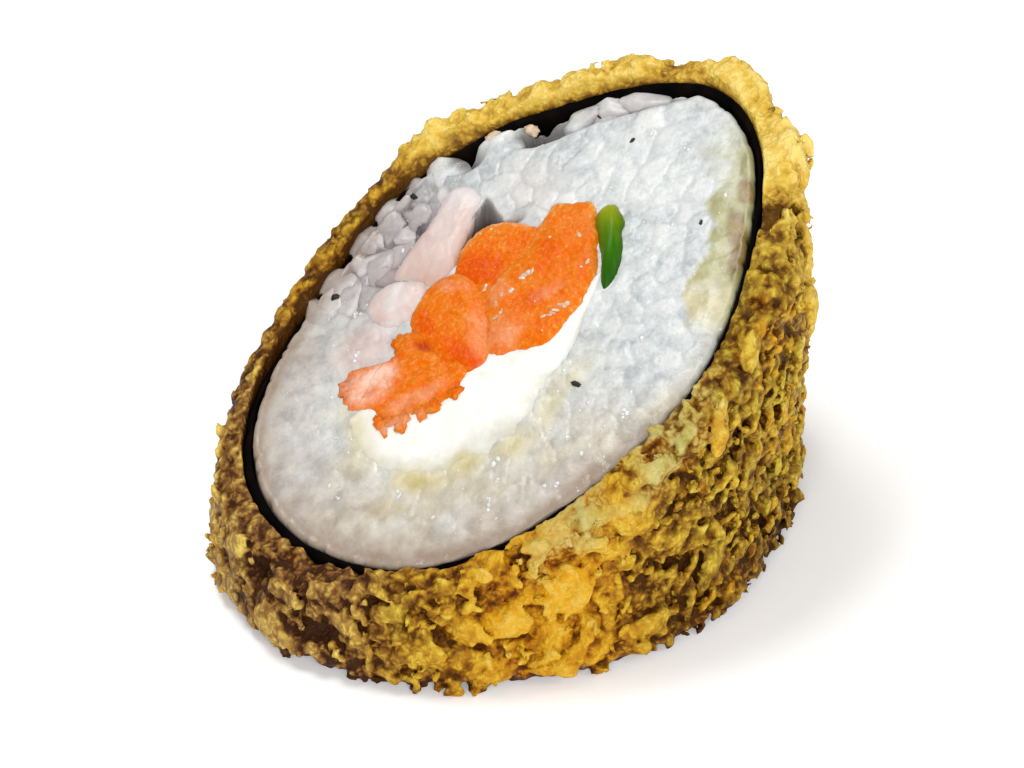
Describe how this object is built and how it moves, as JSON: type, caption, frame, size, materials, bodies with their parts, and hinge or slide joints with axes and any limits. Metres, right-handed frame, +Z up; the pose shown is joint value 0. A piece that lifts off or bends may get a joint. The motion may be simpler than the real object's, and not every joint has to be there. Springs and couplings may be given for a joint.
{
  "type": "fried sushi roll slice",
  "caption": "Slice of fried sushi roll standing on a straight cut, slanting cut on top: batter crust and nori round rice, salmon, cream cheese and green onion.",
  "frame": {"origin": "on the surface it stands on, at the middle of the footprint's bounding box", "axes": "+Z up from the flat base; the slanting cut on top falls towards -X and -Y, and -Y faces the viewer"},
  "size_m": [0.0464, 0.0408, 0.0317],
  "materials": {
    "fried_crust": "rough golden-brown fried batter crumbs",
    "nori": "black, faintly glossy sheet",
    "rice": "moist, translucent white grains",
    "cream_cheese": "smooth, warm white, moist",
    "salmon": "wet, orange with pale fat lines",
    "pale_strip": "wet, pale pink, translucent",
    "green_onion": "wet, bright green"
  },
  "bodies": {
    "root": {"batter_crust": "fried_crust", "nori": "nori", "rice": "rice", "cream_cheese": "cream_cheese", "salmon_back": "salmon", "salmon_right": "salmon", "salmon_middle": "salmon", "salmon_left": "salmon", "pale_strip_long": "pale_strip", "pale_strip_short": "pale_strip", "green_onion": "green_onion"}
  },
  "joints": []
}
